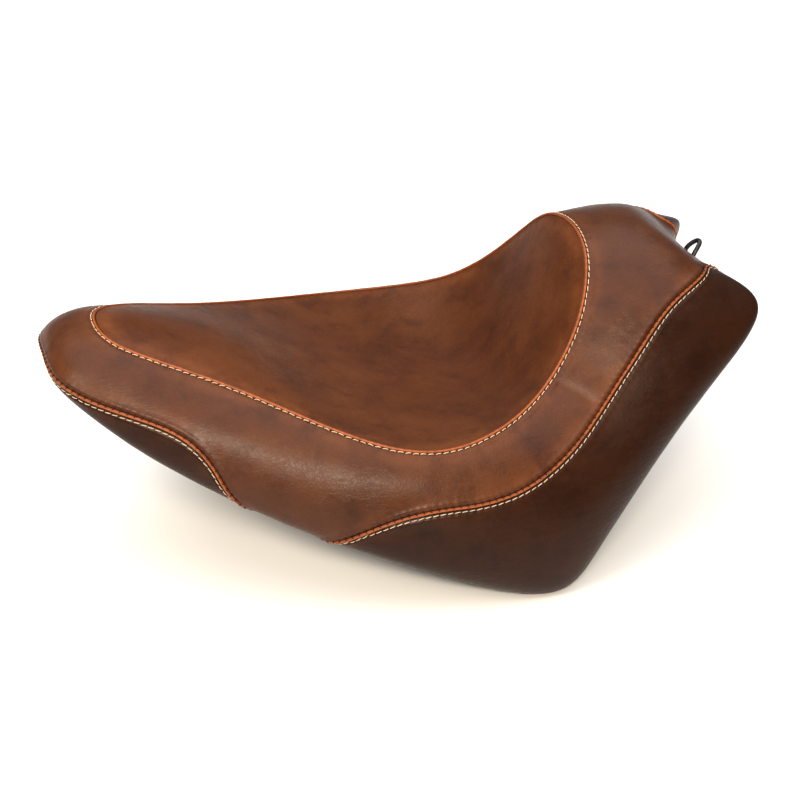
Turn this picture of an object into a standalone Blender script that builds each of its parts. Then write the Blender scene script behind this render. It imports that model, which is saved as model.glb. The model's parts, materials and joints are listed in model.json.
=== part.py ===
"""Solo motorcycle seat: a leather cover of five sewn panels over a foam bucket and a moulded pan.

The nose points along -X, the rider's left is -Y and up is +Z. The origin is under the middle of the
seat, at the height of its lowest point. Every layer is cut from one skin, a loft between closed lines
that run around the seat: u counts the lines from the middle of the sitting panel (0) out over its seam
(1), the shoulder, the flank, the bottom edge and the hem, and back under the pan to its middle (7).
v counts ten stations from the middle of the nose (0) to the middle of the rear (10).
"""

import bmesh
import bpy
import numpy as np
from mathutils import Matrix, Vector
from mathutils.bvhtree import BVHTree

# Overall size of the covered seat, metres
LENGTH = 0.569
WIDTH = 0.368
HEIGHT = 0.240

# Layers, metres
COVER = 0.0020
PAN = 0.0035
GAP = 0.0003
FOAM_GAP = 0.0005
FOAM_SEAT = 0.0009

# Piping in the seams
WELT_RADIUS = 0.0015
WELT_CLEARANCE = 0.0006
SEAM_CUT_HEIGHT = 0.007
SEAM_CUT_PAST_HEM = 0.006
WELT_STEP = 0.15
INSERT_WELT_STEP = 0.33
WELT_END_U = 5.1

# Rear loop: a bent rod under a plate
ROD_RADIUS = 0.00225
LOOP_HALF_WIDTH = 0.0080
LOOP_RISE = 0.0145
LOOP_BEHIND = 0.0138
LOOP_KNEE = (0.0002, 0, 0.0005)
LOOP_PLATE = (0.034, 0.058, 0.0025)
LOOP_PLATE_INSET = 0.004
LOOP_PLATE_BEVEL = 0.0006
LOOP_ROD_CLEAR = 0.0009
LOOP_BOW = (0.0032, 0.0045, 0.0028)
LOOP_RIVET_OUT = 0.020
LOOP_LEG_SHARES = (0.45, 0.2, -0.05, -0.3, -0.5)

# Front tongue: a joggled steel strap
TONGUE_WIDTH = 0.044
TONGUE_PLATE = 0.0030
TONGUE_SEAT = 0.052
TONGUE_STEP = 0.009
TONGUE_REACH = 0.030
TONGUE_START = 0.066
TONGUE_RIVETS = ((0.011, 0.013), (0.039, 0.013))

# Rivets and rubber buffers
RIVET_RADIUS = 0.0024
RIVET_HEAD = 0.0050
RIVET_HEAD_HEIGHT = 0.0016
STEM_RECESS = 0.0008
BUFFER_RADIUS = 0.0125
BUFFER_HEIGHT = 0.0090
BUFFER_STEM = 0.0040
BUFFER_PLACES = {"front": (5.75, 3.0), "rear": (5.75, 6.6)}

# Fender pad under the rear of the pan
PAD = 0.0030
PAD_U = (6.0, 7.0)
PAD_V = (6.6, 7.7)

# Length of the straight probes that find the pan from below, and of the hole cutters
RAY_BACK = 0.030
RAY_DROP = 0.050
HOLE_CUT_LENGTH = 0.024

ROUND_STEPS = 16
FLIP = np.array((1, -1, 1))

# Closed lines around the skin, in millimetres as first drawn: back from the nose, out from the middle
# plane, up from the ground line, at the stations 0 to 10. The overall sizes above scale them.
SEAM_LINE = (
    (43, 0, 211), (53, 31, 207), (90, 53, 194), (154, 84, 170), (246, 135, 139), (320, 134, 137),
    (372, 109, 154), (408, 84, 188), (426, 60, 219), (434, 34, 236), (437, 0, 241),
)
SHOULDER_LINE = (
    (22, 0, 211), (34, 43, 204), (78, 70, 186), (142, 102, 162), (235, 150, 128), (330, 158, 118),
    (410, 136, 134), (456, 112, 174), (490, 88, 208), (502, 50, 230), (492, 0, 242),
)
FLANK_LINE = (
    (3, 0, 198), (11, 46, 190), (57, 83, 168), (127, 118, 138), (224, 163, 100), (344, 182, 64),
    (430, 157, 96), (504, 122, 154), (550, 88, 194), (534, 44, 214), (524, 0, 218),
)
EDGE_LINE = (
    (6, 0, 176), (12, 40, 172), (52, 79, 143), (118, 115, 106), (210, 158, 69), (346, 178, 15),
    (414, 160, 41), (502, 122, 125), (568, 86, 182), (553, 46, 198), (540, 0, 201),
)
HEM_LINE = (
    (28, 0, 172), (32, 28, 168), (65, 60, 140), (130, 94, 104), (215, 138, 64), (344, 157, 14),
    (404, 142, 46), (488, 104, 122), (548, 70, 168), (538, 38, 180), (530, 0, 184),
)
HOLLOW_LINE = (
    (35, 0, 171), (45, 20, 170), (82, 42, 158), (148, 72, 136), (230, 112, 100), (328, 125, 72),
    (376, 112, 96), (440, 84, 146), (495, 52, 174), (515, 28, 184), (512, 0, 186),
)
CROWN_LINE = (
    (50, 0, 170), (65, 0, 169), (110, 0, 160), (175, 0, 138), (245, 0, 102), (312, 0, 82),
    (356, 0, 94), (405, 0, 134), (455, 0, 162), (485, 0, 177), (495, 0, 182),
)
SKIN_LINES = (SEAM_LINE, SHOULDER_LINE, FLANK_LINE, EDGE_LINE, HEM_LINE, HOLLOW_LINE, CROWN_LINE)
# Middle line of the sitting panel, millimetres back and up, at the same stations
TOP_LINE = (
    (56, 212), (72, 209), (110, 197), (172, 169), (245, 136), (315, 126), (362, 139), (392, 175),
    (410, 204), (421, 222), (430, 235),
)

# Seams of the lower panels: station v and line number u, from one end at the hem to the other
FRONT_SEAM = (
    (0, 3.3), (1, 3.25), (2, 2.97), (2.4, 2.95), (2.7, 3.15), (2.85, 3.4), (3, 3.8), (3.2, 4.5), (3.3, 5.15),
)
REAR_SEAM = (
    (3.6, 5.15), (3.72, 4.7), (3.85, 4.15), (3.95, 3.6), (4.2, 2.82), (4.6, 2.47), (5.1, 2.3), (5.6, 2.1),
    (6, 1.94), (6.4, 1.88), (7, 1.92), (7.5, 1.95), (8, 2.05), (8.4, 2.3), (8.7, 2.65), (8.9, 3.1),
    (9.05, 3.8), (9.2, 4.5), (9.3, 5.15),
)

# Rows and columns of facets that every layer shares
TOP_ROWS = (0, 0.5, 1, 1.45, 1.9, 2.35, 2.8, 3.25, 3.65)
EDGE_ROWS = (4.0, 4.25, 4.6, 5.0)
UNDER_ROWS = (5.5, 6.0, 6.5, 7.0)
COLUMNS = np.concatenate((np.arange(0, 2, 0.4), np.arange(2, 8, 1 / 3), np.linspace(8, 10, 8)))


def spline(knots, values, at):
    """Points at the places `at` on the natural cubic spline through the values at the knots."""
    knots = np.asarray(knots, float)
    values = np.asarray(values, float)
    gaps = np.diff(knots)
    matrix = np.eye(len(knots))
    right = np.zeros_like(values)
    for i in range(1, len(knots) - 1):
        matrix[i, i - 1 : i + 2] = gaps[i - 1], 2 * (gaps[i - 1] + gaps[i]), gaps[i]
        right[i] = 6 * ((values[i + 1] - values[i]) / gaps[i] - (values[i] - values[i - 1]) / gaps[i - 1])
    bend = np.linalg.solve(matrix, right)
    k = np.clip(np.searchsorted(knots, at, side="right") - 1, 0, len(gaps) - 1)
    extra = (np.newaxis,) * (values.ndim - 1)
    gap = gaps[k][(..., *extra)]
    b = ((np.asarray(at) - knots[k]) / gaps[k])[(..., *extra)]
    a = 1 - b
    curve = (a**3 - a) * bend[k] + (b**3 - b) * bend[k + 1]
    return a * values[k] + b * values[k + 1] + curve * gap**2 / 6


def around(line, v):
    """Points of a closed line at the stations v, on the left side for v from 0 to 10."""
    left = np.array(line, float) * FLIP
    right = left * FLIP
    last = len(left) - 1
    values = np.vstack((right[3:0:-1], left, right[last - 1 : last - 4 : -1]))
    return spline(np.arange(-3, last + 4), values, v)


def drawn_skin(u, v):
    """Points of the skin as drawn, in millimetres, for rows of u over the stations v."""
    lines = [around(line, v) for line in SKIN_LINES]
    across = np.array([*lines, lines[5] * FLIP, lines[4] * FLIP])
    points = np.empty((*u.shape, 3))
    for j in range(len(v)):
        points[:, j] = spline(np.arange(1, 10), across[:, j], u[:, j])
    seam = lines[0]
    top = np.array(TOP_LINE, float)
    top_x = spline(np.arange(11), top[:, 0], 10 - np.abs(10 - np.abs(v)))
    top_z = spline(top[:, 0], top[:, 1], top_x)
    slope = spline(top[:, 0], top[:, 1], top_x + 0.5) - spline(top[:, 0], top[:, 1], top_x - 0.5)
    run = seam[:, 0] - top_x
    w = np.minimum(u, 1)
    rise = slope * run
    panel_z = top_z + rise * w + (seam[:, 2] - top_z - rise) * w**2
    panel = np.stack((top_x + run * w, seam[:, 1] * w, panel_z), axis=-1)
    return np.where((u < 1)[..., np.newaxis], panel, points)


def drawn_box():
    """Lowest and highest corners of the drawn cover, at the facets' own corners."""
    u = np.repeat(np.array(TOP_ROWS + EDGE_ROWS, float)[:, np.newaxis], len(COLUMNS), axis=1)
    points = drawn_skin(u, COLUMNS).reshape(-1, 3)
    points = np.vstack((points, points * FLIP))
    return points.min(axis=0), points.max(axis=0)


DRAWN_LOW, DRAWN_HIGH = drawn_box()
SCALE = np.array((LENGTH, WIDTH, HEIGHT)) / (DRAWN_HIGH - DRAWN_LOW)
DRAWN_ORIGIN = np.array(((DRAWN_LOW[0] + DRAWN_HIGH[0]) / 2, 0, DRAWN_LOW[2]))


def skin(u, v):
    return (drawn_skin(u, v) - DRAWN_ORIGIN) * SCALE


def skin_and_normals(u, v):
    """Points of the skin and the unit normals that point out of it."""
    e = 0.01
    inside = np.clip(u, 0.05, 6.95)
    along = skin(inside + e, v) - skin(inside - e, v)
    round_it = skin(inside, v + e) - skin(inside, v - e)
    normals = np.cross(along, round_it)
    middle = (u <= 0) | (u >= 7) | (v <= 0) | (v >= 10)
    normals[..., 1] = np.where(middle, 0, normals[..., 1])
    normals /= np.linalg.norm(normals, axis=-1, keepdims=True)
    points = skin(u, v)
    points[..., 1] = np.where(middle & (np.abs(points[..., 1]) < 1e-4), 0, points[..., 1])
    return points, normals


def layer(rows, depths, columns=COLUMNS):
    """Corners of the facets of a layer, at a depth under the skin for each row."""
    u = np.repeat(np.array(rows, float)[:, np.newaxis], len(columns), axis=1)
    points, normals = skin_and_normals(u, columns)
    return points - normals * np.array(depths, float)[:, np.newaxis, np.newaxis]


def facet_point(place):
    """Point and normal on the facets of the skin at one (u, v), between the four corners around it."""
    rows = np.array(TOP_ROWS + EDGE_ROWS + UNDER_ROWS, float)
    i = int(np.clip(np.searchsorted(rows, place[0], side="right") - 1, 0, len(rows) - 2))
    j = int(np.clip(np.searchsorted(COLUMNS, place[1], side="right") - 1, 0, len(COLUMNS) - 2))
    u = np.repeat(rows[i : i + 2, np.newaxis], 2, axis=1)
    points, normals = skin_and_normals(u, COLUMNS[j : j + 2])
    a = (place[0] - rows[i]) / (rows[i + 1] - rows[i])
    b = (place[1] - COLUMNS[j]) / (COLUMNS[j + 1] - COLUMNS[j])
    weights = np.array(((1 - a) * (1 - b), (1 - a) * b, a * (1 - b), a * b)).reshape(2, 2, 1)
    point = (points * weights).sum(axis=(0, 1))
    normal = (normals * weights).sum(axis=(0, 1))
    return point, normal / np.linalg.norm(normal)


def clear_scene():
    for obj in list(bpy.data.objects):
        bpy.data.objects.remove(obj, do_unlink=True)


def collection(name):
    made = bpy.data.collections.new(name)
    bpy.context.scene.collection.children.link(made)
    return made


def material(name, colour, roughness, metallic=0.0):
    made = bpy.data.materials.new(name)
    made.use_nodes = True
    shader = made.node_tree.nodes["Principled BSDF"]
    shader.inputs["Base Color"].default_value = (*colour, 1)
    shader.inputs["Roughness"].default_value = roughness
    shader.inputs["Metallic"].default_value = metallic
    return made


def add(name, data, group, finish=None):
    obj = bpy.data.objects.new(name, data)
    group.objects.link(obj)
    if finish:
        data.materials.append(finish)
    return obj


def mesh_from_grid(name, grid):
    """An open mesh of triangles, all split the same way, facing where the skin's normals point.

    A triangle that lies in the middle plane, where the rows start or end, is left out.
    """
    rows, columns = grid.shape[:2]
    points = grid.reshape(-1, 3)
    faces = []
    for i in range(rows - 1):
        for j in range(columns - 1):
            a = i * columns + j
            faces.append((a, a + columns, a + columns + 1))
            faces.append((a, a + columns + 1, a + 1))
    faces = [face for face in faces if np.abs(points[list(face), 1]).max() > 1e-6]
    mesh = bpy.data.meshes.new(name)
    mesh.from_pydata([tuple(p) for p in points], [], faces)
    return mesh


def mirrored(obj):
    mirror = obj.modifiers.new("other_side", "MIRROR")
    mirror.use_axis = (False, True, False)
    mirror.use_clip = True
    mirror.merge_threshold = 0.00005


def thickened(obj, thickness, offset=-1.0):
    solid = obj.modifiers.new("thickness", "SOLIDIFY")
    solid.thickness = thickness
    solid.offset = offset


def evaluated_mesh(obj):
    bpy.context.view_layer.update()
    graph = bpy.context.evaluated_depsgraph_get()
    return bpy.data.meshes.new_from_object(obj.evaluated_get(graph))


def cut(obj, cutter):
    boolean = obj.modifiers.new("cut_" + cutter.name, "BOOLEAN")
    boolean.operation = "DIFFERENCE"
    boolean.solver = "EXACT"
    boolean.object = cutter


def hidden_cutter(obj):
    obj.hide_render = True
    obj.display_type = "WIRE"
    return obj


def seam_places(knots, step=WELT_STEP):
    """Places (u, v) along a seam, evenly spread between its ends, up to the hem."""
    knots = np.array(knots, float)
    v = np.arange(knots[0, 0], knots[-1, 0] + 1e-6, 0.02)
    u = spline(knots[:, 0], knots[:, 1], v)
    inside = u <= WELT_END_U
    u, v = u[inside], v[inside]
    travelled = np.concatenate(((0,), np.cumsum(np.hypot(np.diff(u), np.diff(v)))))
    at = np.linspace(0, travelled[-1], int(travelled[-1] / step) + 1)
    return np.stack((np.interp(at, travelled, u), np.interp(at, travelled, v)), axis=-1)


def insert_seam_places():
    v = np.linspace(0, 20, int(20 / INSERT_WELT_STEP) + 2)[:-1]
    return np.stack((np.ones_like(v), v), axis=-1)


def seam_frames(places, side):
    """Points and normals of a seam; stations past 10 lie on the right side."""
    points = []
    normals = []
    for u, v in places:
        right = v > 10
        point, normal = facet_point((u, 20 - v if right else v))
        flip = FLIP if right != (side == "right") else 1
        points.append(point * flip)
        normals.append(normal * flip)
    return np.array(points), np.array(normals)


def seam_fence(name, points, normals, cyclic, group):
    """Cutter that parts the skin along a seam, wide enough for the piping and its gaps."""
    heights = (-SEAM_CUT_HEIGHT / 2, SEAM_CUT_HEIGHT / 2)
    grid = np.array([points + normals * height for height in heights])
    count = len(points)
    faces = [(i, i + 1, count + i + 1, count + i) for i in range(count - 1)]
    if cyclic:
        faces.append((count - 1, 0, count, 2 * count - 1))
    mesh = bpy.data.meshes.new(name)
    mesh.from_pydata([tuple(p) for p in grid.reshape(-1, 3)], [], faces)
    fence = add(name, mesh, group)
    thickened(fence, 2 * (WELT_RADIUS + WELT_CLEARANCE), 0.0)
    return hidden_cutter(fence)


def tube(name, points, radius, group, finish, cyclic=False, sides=1):
    curve = bpy.data.curves.new(name, "CURVE")
    curve.dimensions = "3D"
    curve.bevel_depth = radius
    curve.bevel_resolution = sides
    curve.use_fill_caps = not cyclic
    line = curve.splines.new("POLY")
    line.points.add(len(points) - 1)
    for knot, point in zip(line.points, points):
        knot.co = (*point, 1)
    line.use_cyclic_u = cyclic
    line.use_smooth = True
    return add(name, curve, group, finish)


def extended(points, length):
    """The same line with both ends carried straight on."""
    first = points[0] + (points[0] - points[1]) / np.linalg.norm(points[0] - points[1]) * length
    last = points[-1] + (points[-1] - points[-2]) / np.linalg.norm(points[-1] - points[-2]) * length
    return np.vstack((first, points, last))


def islands(mesh):
    """Lists of face numbers, one for each separate body of a mesh."""
    shape = bmesh.new()
    shape.from_mesh(mesh)
    shape.faces.ensure_lookup_table()
    left = set(range(len(shape.faces)))
    found = []
    while left:
        first = left.pop()
        body = [first]
        for number in body:
            for edge in shape.faces[number].edges:
                for face in edge.link_faces:
                    if face.index in left:
                        left.remove(face.index)
                        body.append(face.index)
        found.append(body)
    shape.free()
    return found


def body_mesh(mesh, faces, name):
    """A new mesh of some faces of another, with its shortest edges closed up."""
    keep = set(faces)
    shape = bmesh.new()
    shape.from_mesh(mesh)
    shape.faces.ensure_lookup_table()
    others = [face for face in shape.faces if face.index not in keep]
    bmesh.ops.delete(shape, geom=others, context="FACES")
    bmesh.ops.remove_doubles(shape, verts=shape.verts, dist=0.00002)
    bmesh.ops.dissolve_degenerate(shape, edges=shape.edges, dist=0.00002)
    made = bpy.data.meshes.new(name)
    shape.to_mesh(made)
    shape.free()
    return made


def build_cover(parts, cutters, leather, piping):
    """The whole leather skin, parted along its seams into panels, with piping laid in the seams."""
    rows = TOP_ROWS + EDGE_ROWS
    blank = add("skin_blank", mesh_from_grid("skin_blank", layer(rows, [0] * len(rows))), cutters)
    mirrored(blank)
    thickened(blank, COVER)
    front = seam_places(FRONT_SEAM)
    front = np.vstack((front[:0:-1] * (1, -1), front))
    seams = {
        "welt_insert": (insert_seam_places(), "left", True),
        "welt_front": (front, "left", False),
        "welt_rear_left": (seam_places(REAR_SEAM), "left", False),
        "welt_rear_right": (seam_places(REAR_SEAM), "right", False),
    }
    for name, (places, side, cyclic) in seams.items():
        mirrored_half = places[:, 1] < 0
        places = np.abs(places)
        points, normals = seam_frames(places, side)
        points[mirrored_half] *= FLIP
        normals[mirrored_half] *= FLIP
        if cyclic:
            cut(blank, seam_fence("cut_" + name, points, normals, True, cutters))
            tube(name, points, WELT_RADIUS, parts, piping, cyclic=True)
            continue
        ends = np.vstack((normals[:1], normals, normals[-1:]))
        cut(blank, seam_fence("cut_" + name, extended(points, SEAM_CUT_PAST_HEM), ends, False, cutters))
        tube(name, points, WELT_RADIUS, parts, piping)
    whole = evaluated_mesh(blank)
    hidden_cutter(blank)
    marks = {
        "cover_insert": (0.5, 4.5, 1),
        "cover_band": (1.6, 5.0, 1),
        "cover_front_skirt": (3.9, 1.0, 1),
        "cover_rear_left": (3.4, 5.5, 1),
        "cover_rear_right": (3.4, 5.5, -1),
    }
    centres = {name: facet_point(mark[:2])[0] * (1, mark[2], 1) for name, mark in marks.items()}
    corners = np.array([vertex.co for vertex in whole.vertices])
    for body in islands(whole):
        mine = corners[sorted({v for f in body for v in whole.polygons[f].vertices})]
        name = min(centres, key=lambda key: np.linalg.norm(mine - centres[key], axis=1).min())
        panel = add(name, body_mesh(whole, body, name), parts, leather)
        panel.data.shade_smooth()
        panel.data.set_sharp_from_angle(angle=0.7)


def build_foam(parts, foam):
    """The foam bucket: it fills the cover and sits on the pan."""
    rows = TOP_ROWS + EDGE_ROWS + UNDER_ROWS
    under_cover = COVER + FOAM_GAP
    over_pan = COVER + GAP + PAN + FOAM_SEAT
    depths = [under_cover] * len(TOP_ROWS) + [over_pan] * (len(rows) - len(TOP_ROWS))
    bucket = add("foam_bucket", mesh_from_grid("foam_bucket", layer(rows, depths)), parts, foam)
    mirrored(bucket)
    bucket.data.shade_smooth()


def build_pan(parts, plastic):
    """The moulded pan: its rim lies inside the turned bottom edge of the cover."""
    rows = EDGE_ROWS + UNDER_ROWS
    grid = layer(rows, [COVER + GAP] * len(rows))
    pan = add("seat_pan", mesh_from_grid("seat_pan", grid), parts, plastic)
    mirrored(pan)
    thickened(pan, PAN)
    pan.data.shade_smooth()
    return pan


def tree_of(obj):
    mesh = evaluated_mesh(obj)
    faces = [tuple(face.vertices) for face in mesh.polygons]
    return BVHTree.FromPolygons([vertex.co for vertex in mesh.vertices], faces)


def rise(tree, point, up):
    """How far a point can go along `up` before it meets the pan."""
    back = Vector(point) - Vector(up) * RAY_BACK
    hit = tree.ray_cast(back, Vector(up))
    return hit[3] - RAY_BACK


def frame_at(point, up, forward=(-1, 0, 0)):
    """Matrix with its Z along `up` and its X as near to `forward` as that allows."""
    z = Vector(up).normalized()
    y = z.cross(Vector(forward)).normalized()
    x = y.cross(z)
    matrix = Matrix((x, y, z)).transposed().to_4x4()
    matrix.translation = Vector(point)
    return matrix


def landed(tree, matrix, spots):
    """The frame moved along its Z until its flat top, at the spots, is a gap away from the pan."""
    up = matrix.col[2].to_3d()
    free = min(rise(tree, matrix @ Vector((x, y, 0)), up) for x, y in spots)
    return Matrix.Translation(up * (free - GAP)) @ matrix


def ring_spots(radius):
    spots = [(0, 0)]
    for share in (0.5, 1):
        for angle in np.linspace(0, 2 * np.pi, 24, endpoint=False):
            spots.append((radius * share * np.cos(angle), radius * share * np.sin(angle)))
    return spots


def plate_spots(x_range, y_half):
    xs = np.linspace(x_range[0], x_range[1], 12)
    ys = np.linspace(-y_half, y_half, 9)
    return [(x, y) for x in xs for y in ys]


def turned(name, profile, matrix, group, finish):
    """A turned solid about its own Z, from a profile that runs down its outer side."""
    mesh = bpy.data.meshes.new(name)
    edges = [(i, i + 1) for i in range(len(profile) - 1)]
    mesh.from_pydata([(r, 0, z) for r, z in profile], edges, [])
    obj = add(name, mesh, group, finish)
    screw = obj.modifiers.new("turn", "SCREW")
    screw.axis = "Z"
    screw.steps = ROUND_STEPS
    screw.render_steps = ROUND_STEPS
    screw.use_merge_vertices = True
    screw.merge_threshold = 0.00001
    screw.use_smooth_shade = True
    obj.matrix_world = matrix
    return obj


def hole_cutter(name, radius, matrix, group):
    shape = bmesh.new()
    bmesh.ops.create_cone(
        shape, cap_ends=True, segments=ROUND_STEPS, radius1=radius, radius2=radius, depth=HOLE_CUT_LENGTH
    )
    mesh = bpy.data.meshes.new(name)
    shape.to_mesh(mesh)
    shape.free()
    cutter = add(name, mesh, group)
    cutter.matrix_world = matrix
    return hidden_cutter(cutter)


def add_rivet(name, tree, matrix, spot, plate, parts, steel):
    """A rivet up through a plate and the pan; `matrix` is the plate's frame with Z up at its top."""
    local = matrix @ Matrix.Translation((*spot, 0))
    up = matrix.col[2].to_3d()
    top = rise(tree, local.translation, up) + PAN - STEM_RECESS
    under = -plate - GAP
    profile = [
        (0, top),
        (RIVET_RADIUS, top),
        (RIVET_RADIUS, under),
        (RIVET_HEAD, under),
        (RIVET_HEAD * 0.9, under - RIVET_HEAD_HEIGHT * 0.6),
        (RIVET_HEAD * 0.5, under - RIVET_HEAD_HEIGHT * 0.95),
        (0, under - RIVET_HEAD_HEIGHT),
    ]
    return turned(name, profile, local, parts, steel)


def drill(rivet, pieces, cutters):
    cutter = hole_cutter("hole_" + rivet.name, RIVET_RADIUS + GAP, rivet.matrix_world.copy(), cutters)
    for piece in pieces:
        cut(piece, cutter)


def build_tongue(tree, pan, parts, cutters, steel):
    """A strap riveted under the nose; it steps down and reaches forward, to hook into the frame."""
    middle_back = TONGUE_START + TONGUE_SEAT / 2
    nose = skin(np.array(((4.0,),)), np.array((0.0,)))[0, 0, 0]
    point = Vector((nose + middle_back, 0, -RAY_DROP))
    start, normal, _, _ = tree.ray_cast(point, Vector((0, 0, 1)))
    up = -Vector((normal.x, 0, normal.z)).normalized()
    matrix = frame_at(start, up)
    half = TONGUE_SEAT / 2
    matrix = landed(tree, matrix, plate_spots((-half, half), TONGUE_WIDTH / 2))
    line = (
        (-half, 0),
        (half, 0),
        (half + TONGUE_STEP, -TONGUE_STEP),
        (half + TONGUE_STEP + TONGUE_REACH, -TONGUE_STEP),
    )
    grid = np.array([[(x, y * TONGUE_WIDTH / 2, z) for y in (-1, 1)] for x, z in line])
    strap = add("front_tongue", mesh_from_grid("front_tongue", grid), parts, steel)
    thickened(strap, TONGUE_PLATE)
    strap.modifiers["thickness"].use_even_offset = True
    strap.matrix_world = matrix
    for k, (back, out) in enumerate(TONGUE_RIVETS):
        for side, name in ((1, "left"), (-1, "right")):
            end = "front" if k else "rear"
            spot = (back - half, out * side)
            rivet = add_rivet(f"tongue_rivet_{end}_{name}", tree, matrix, spot, TONGUE_PLATE, parts, steel)
            drill(rivet, (pan, strap), cutters)


def build_loop(tree, pan, parts, cutters, steel, black):
    """The rod loop behind the seat, with its plate riveted under the rear of the pan."""
    edge, _ = facet_point((4.25, 10))
    length, width, thickness = LOOP_PLATE
    hem, _ = facet_point((5.0, 10))
    start = Vector((hem[0] - length / 2 - LOOP_PLATE_INSET, 0, hem[2] - RAY_DROP))
    hit, normal, _, _ = tree.ray_cast(start, Vector((0, 0, 1)))
    up = -Vector((normal.x, 0, normal.z)).normalized()
    matrix = landed(tree, frame_at(hit, up), plate_spots((-length / 2, length / 2), width / 2))
    shape = bmesh.new()
    bmesh.ops.create_cube(shape, size=1)
    bmesh.ops.scale(shape, vec=LOOP_PLATE, verts=shape.verts)
    bmesh.ops.translate(shape, vec=(0, 0, -thickness / 2), verts=shape.verts)
    mesh = bpy.data.meshes.new("rear_loop_plate")
    shape.to_mesh(mesh)
    shape.free()
    plate = add("rear_loop_plate", mesh, parts, steel)
    plate.matrix_world = matrix
    bevel = plate.modifiers.new("soft_corners", "BEVEL")
    bevel.width = LOOP_PLATE_BEVEL
    bevel.segments = 1
    for side, name in ((1, "left"), (-1, "right")):
        spot = (0, LOOP_RIVET_OUT * side)
        rivet = add_rivet(f"loop_rivet_{name}", tree, matrix, spot, thickness, parts, steel)
        drill(rivet, (pan, plate), cutters)
    under = -thickness - GAP - ROD_RADIUS
    under_plate = [np.array(matrix @ Vector((length * share, 0, under))) for share in LOOP_LEG_SHARES]
    clear = ROD_RADIUS + LOOP_ROD_CLEAR
    corner = np.array((edge[0] + clear, 0, under_plate[-1][2] + 0.001))
    apex = np.array((edge[0] + LOOP_BEHIND, 0, edge[2] + LOOP_RISE))
    knee = np.array((corner[0], 0, edge[2])) + LOOP_KNEE
    leg = np.array((*under_plate, corner, knee))
    leg_out = np.array([1] * (len(leg) - 1) + [0.95]) * LOOP_HALF_WIDTH
    left = leg - np.outer(leg_out, (0, 1, 0))
    right = leg + np.outer(leg_out, (0, 1, 0))
    drop, out, sag = LOOP_BOW
    bow = apex + np.array(((-drop, -out, -sag), (0, 0, 0), (-drop, out, -sag)))
    knots = np.vstack((left, bow, right[::-1]))
    steps = np.concatenate(((0,), np.cumsum(np.linalg.norm(np.diff(knots, axis=0), axis=1))))
    path = spline(steps, knots, np.linspace(0, steps[-1], 34))
    tube("rear_loop", path, ROD_RADIUS, parts, black, sides=2)


def build_buffers(tree, pan, parts, cutters, rubber):
    """Push-in rubber buffers, with their stems through the pan."""
    for end, place in BUFFER_PLACES.items():
        for side, flip in (("left", 1), ("right", -1)):
            point, normal = facet_point(place)
            direction = np.array((1, flip, 1))
            up = Vector(-normal * direction)
            matrix = frame_at(point * direction, up)
            matrix = landed(tree, matrix, ring_spots(BUFFER_RADIUS))
            top = rise(tree, matrix.translation, up) + PAN - STEM_RECESS
            foot = -BUFFER_HEIGHT
            profile = [
                (0, top),
                (BUFFER_STEM, top),
                (BUFFER_STEM, 0),
                (BUFFER_RADIUS, 0),
                (BUFFER_RADIUS, foot * 0.8),
                (BUFFER_RADIUS * 0.88, foot),
                (0, foot),
            ]
            name = f"buffer_{end}_{side}"
            turned(name, profile, matrix, parts, rubber)
            cut(pan, hole_cutter("hole_" + name, BUFFER_STEM + GAP, matrix, cutters))


def build_fender_pad(parts, felt):
    """A soft pad glued under the rear of the pan, where it lies over the fender."""
    rows = [row for row in UNDER_ROWS if PAD_U[0] <= row <= PAD_U[1]]
    columns = COLUMNS[(COLUMNS >= PAD_V[0]) & (COLUMNS <= PAD_V[1])]
    grid = layer(rows, [COVER] * len(rows), columns)
    pad = add("fender_pad", mesh_from_grid("fender_pad", grid), parts, felt)
    mirrored(pad)
    thickened(pad, PAD, 1.0)


def main():
    clear_scene()
    parts = collection("motorcycle_seat")
    cutters = collection("cutters")
    leather = material("leather", (0.14, 0.055, 0.03), 0.45)
    piping = material("piping", (0.42, 0.13, 0.04), 0.5)
    foam = material("foam", (0.62, 0.56, 0.36), 0.95)
    plastic = material("pan_plastic", (0.02, 0.02, 0.021), 0.55)
    steel = material("zinc_steel", (0.5, 0.5, 0.48), 0.4, 0.9)
    black = material("black_steel", (0.012, 0.012, 0.012), 0.4, 0.2)
    rubber = material("rubber", (0.02, 0.02, 0.02), 0.85)
    felt = material("felt", (0.05, 0.05, 0.052), 0.95)
    build_cover(parts, cutters, leather, piping)
    build_foam(parts, foam)
    pan = build_pan(parts, plastic)
    tree = tree_of(pan)
    build_tongue(tree, pan, parts, cutters, steel)
    build_loop(tree, pan, parts, cutters, steel, black)
    build_buffers(tree, pan, parts, cutters, rubber)
    build_fender_pad(parts, felt)


main()
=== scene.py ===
"""Looks of the solo motorcycle seat: sewn and padded leather panels, piping, stitches and fittings."""

import json
import math

import bmesh
import bpy
import numpy as np
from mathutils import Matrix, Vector, noise
from mathutils.bvhtree import BVHTree
from mathutils.kdtree import KDTree


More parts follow.
